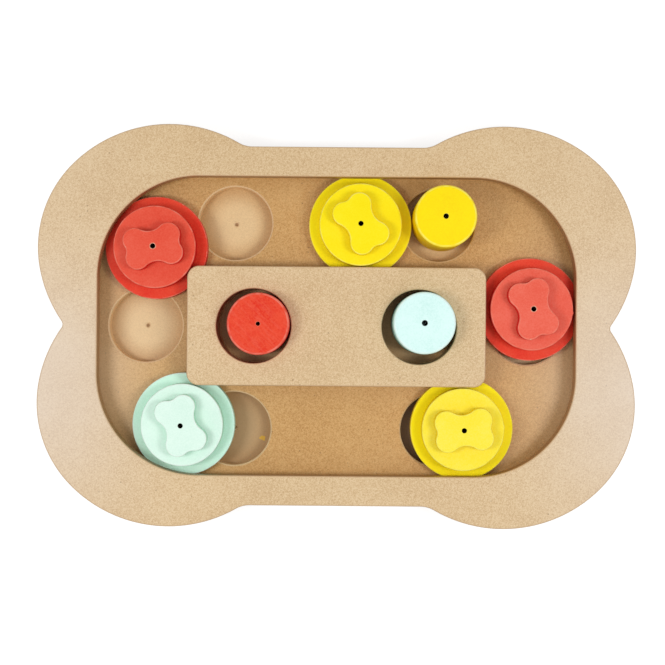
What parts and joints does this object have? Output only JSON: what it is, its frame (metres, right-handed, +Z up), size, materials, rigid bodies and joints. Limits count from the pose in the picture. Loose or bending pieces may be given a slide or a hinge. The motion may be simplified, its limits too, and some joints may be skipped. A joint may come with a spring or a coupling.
{
  "type": "sliding treat puzzle board",
  "caption": "Bone-shaped fibreboard treat puzzle: painted pucks slide and turn in a lipped track over round wells, and loose round pegs lift out of sockets in a centre block.",
  "frame": {"origin": "middle of the board's underside", "axes": "+X along the board's length, +Y across it, +Z up out of the track"},
  "size_m": [0.3, 0.2018, 0.0373],
  "materials": {
    "raw_board": "raw sanded medium-density fibreboard",
    "track_board": "raw routed medium-density fibreboard, a little darker",
    "red_paint": "matt red paint on wood",
    "yellow_paint": "matt yellow paint on wood",
    "mint_paint": "matt mint paint on wood",
    "pale_mint_paint": "matt pale mint paint on wood"
  },
  "bodies": {
    "board": {"base_board": "track_board", "frame_spacer": "raw_board", "top_frame": "raw_board", "centre_spacer": "raw_board", "centre_block": "raw_board"},
    "red_corner_slider": {"red_corner_flange": "red_paint"},
    "red_corner_turner": {"red_corner_cap": "red_paint", "red_corner_knob": "red_paint"},
    "yellow_top_slider": {"yellow_top_flange": "yellow_paint"},
    "yellow_top_turner": {"yellow_top_cap": "yellow_paint", "yellow_top_knob": "yellow_paint"},
    "red_right_slider": {"red_right_flange": "red_paint"},
    "red_right_turner": {"red_right_cap": "red_paint", "red_right_knob": "red_paint"},
    "mint_corner_slider": {"mint_corner_flange": "mint_paint"},
    "mint_corner_turner": {"mint_corner_cap": "mint_paint", "mint_corner_knob": "mint_paint"},
    "yellow_bottom_slider": {"yellow_bottom_flange": "yellow_paint"},
    "yellow_bottom_turner": {"yellow_bottom_cap": "yellow_paint", "yellow_bottom_knob": "yellow_paint"},
    "red_peg": {"red_peg": "red_paint"},
    "mint_peg": {"mint_peg": "pale_mint_paint"},
    "yellow_peg": {"yellow_peg": "yellow_paint"}
  },
  "joints": [
    {"name": "red_corner_swing", "type": "hinge", "parent": "board", "child": "red_corner_slider", "pos_m": [-0.069, 0.024, 0.0153], "axis": [0, 0, 1], "range_deg": [-56, 29]},
    {"name": "red_corner_turn", "type": "hinge", "parent": "red_corner_slider", "child": "red_corner_turner", "pos_m": [-0.09159, 0.03924, 0.0226], "axis": [0, 0, 1], "continuous": true},
    {"name": "yellow_top_slide", "type": "slide", "parent": "board", "child": "yellow_top_slider", "axis": [1, 0, 0], "range_m": [-0.028, 0]},
    {"name": "yellow_top_turn", "type": "hinge", "parent": "yellow_top_slider", "child": "yellow_top_turner", "pos_m": [0.01182, 0.05125, 0.0226], "axis": [0, 0, 1], "continuous": true},
    {"name": "red_right_slide", "type": "slide", "parent": "board", "child": "red_right_slider", "axis": [0, 1, 0], "range_m": [-0.0165, 0.0205]},
    {"name": "red_right_turn", "type": "hinge", "parent": "red_right_slider", "child": "red_right_turner", "pos_m": [0.098, 0.0095, 0.0226], "axis": [0, 0, 1], "continuous": true},
    {"name": "mint_corner_swing", "type": "hinge", "parent": "board", "child": "mint_corner_slider", "pos_m": [-0.069, -0.024, 0.0153], "axis": [0, 0, 1], "range_deg": [-67.5, 17.5]},
    {"name": "mint_corner_turn", "type": "hinge", "parent": "mint_corner_slider", "child": "mint_corner_turner", "pos_m": [-0.07719, -0.04999, 0.0226], "axis": [0, 0, 1], "continuous": true},
    {"name": "yellow_bottom_slide", "type": "slide", "parent": "board", "child": "yellow_bottom_slider", "axis": [1, 0, 0], "range_m": [-0.08, 0.005]},
    {"name": "yellow_bottom_turn", "type": "hinge", "parent": "yellow_bottom_slider", "child": "yellow_bottom_turner", "pos_m": [0.064, -0.05125, 0.0226], "axis": [0, 0, 1], "continuous": true},
    {"name": "red_peg_lift", "type": "slide", "parent": "board", "child": "red_peg", "axis": [0, 0, 1], "range_m": [0, 0.04]},
    {"name": "mint_peg_lift", "type": "slide", "parent": "board", "child": "mint_peg", "axis": [0, 0, 1], "range_m": [0, 0.04]},
    {"name": "yellow_peg_lift", "type": "slide", "parent": "board", "child": "yellow_peg", "axis": [0, 0, 1], "range_m": [0, 0.04]}
  ]
}
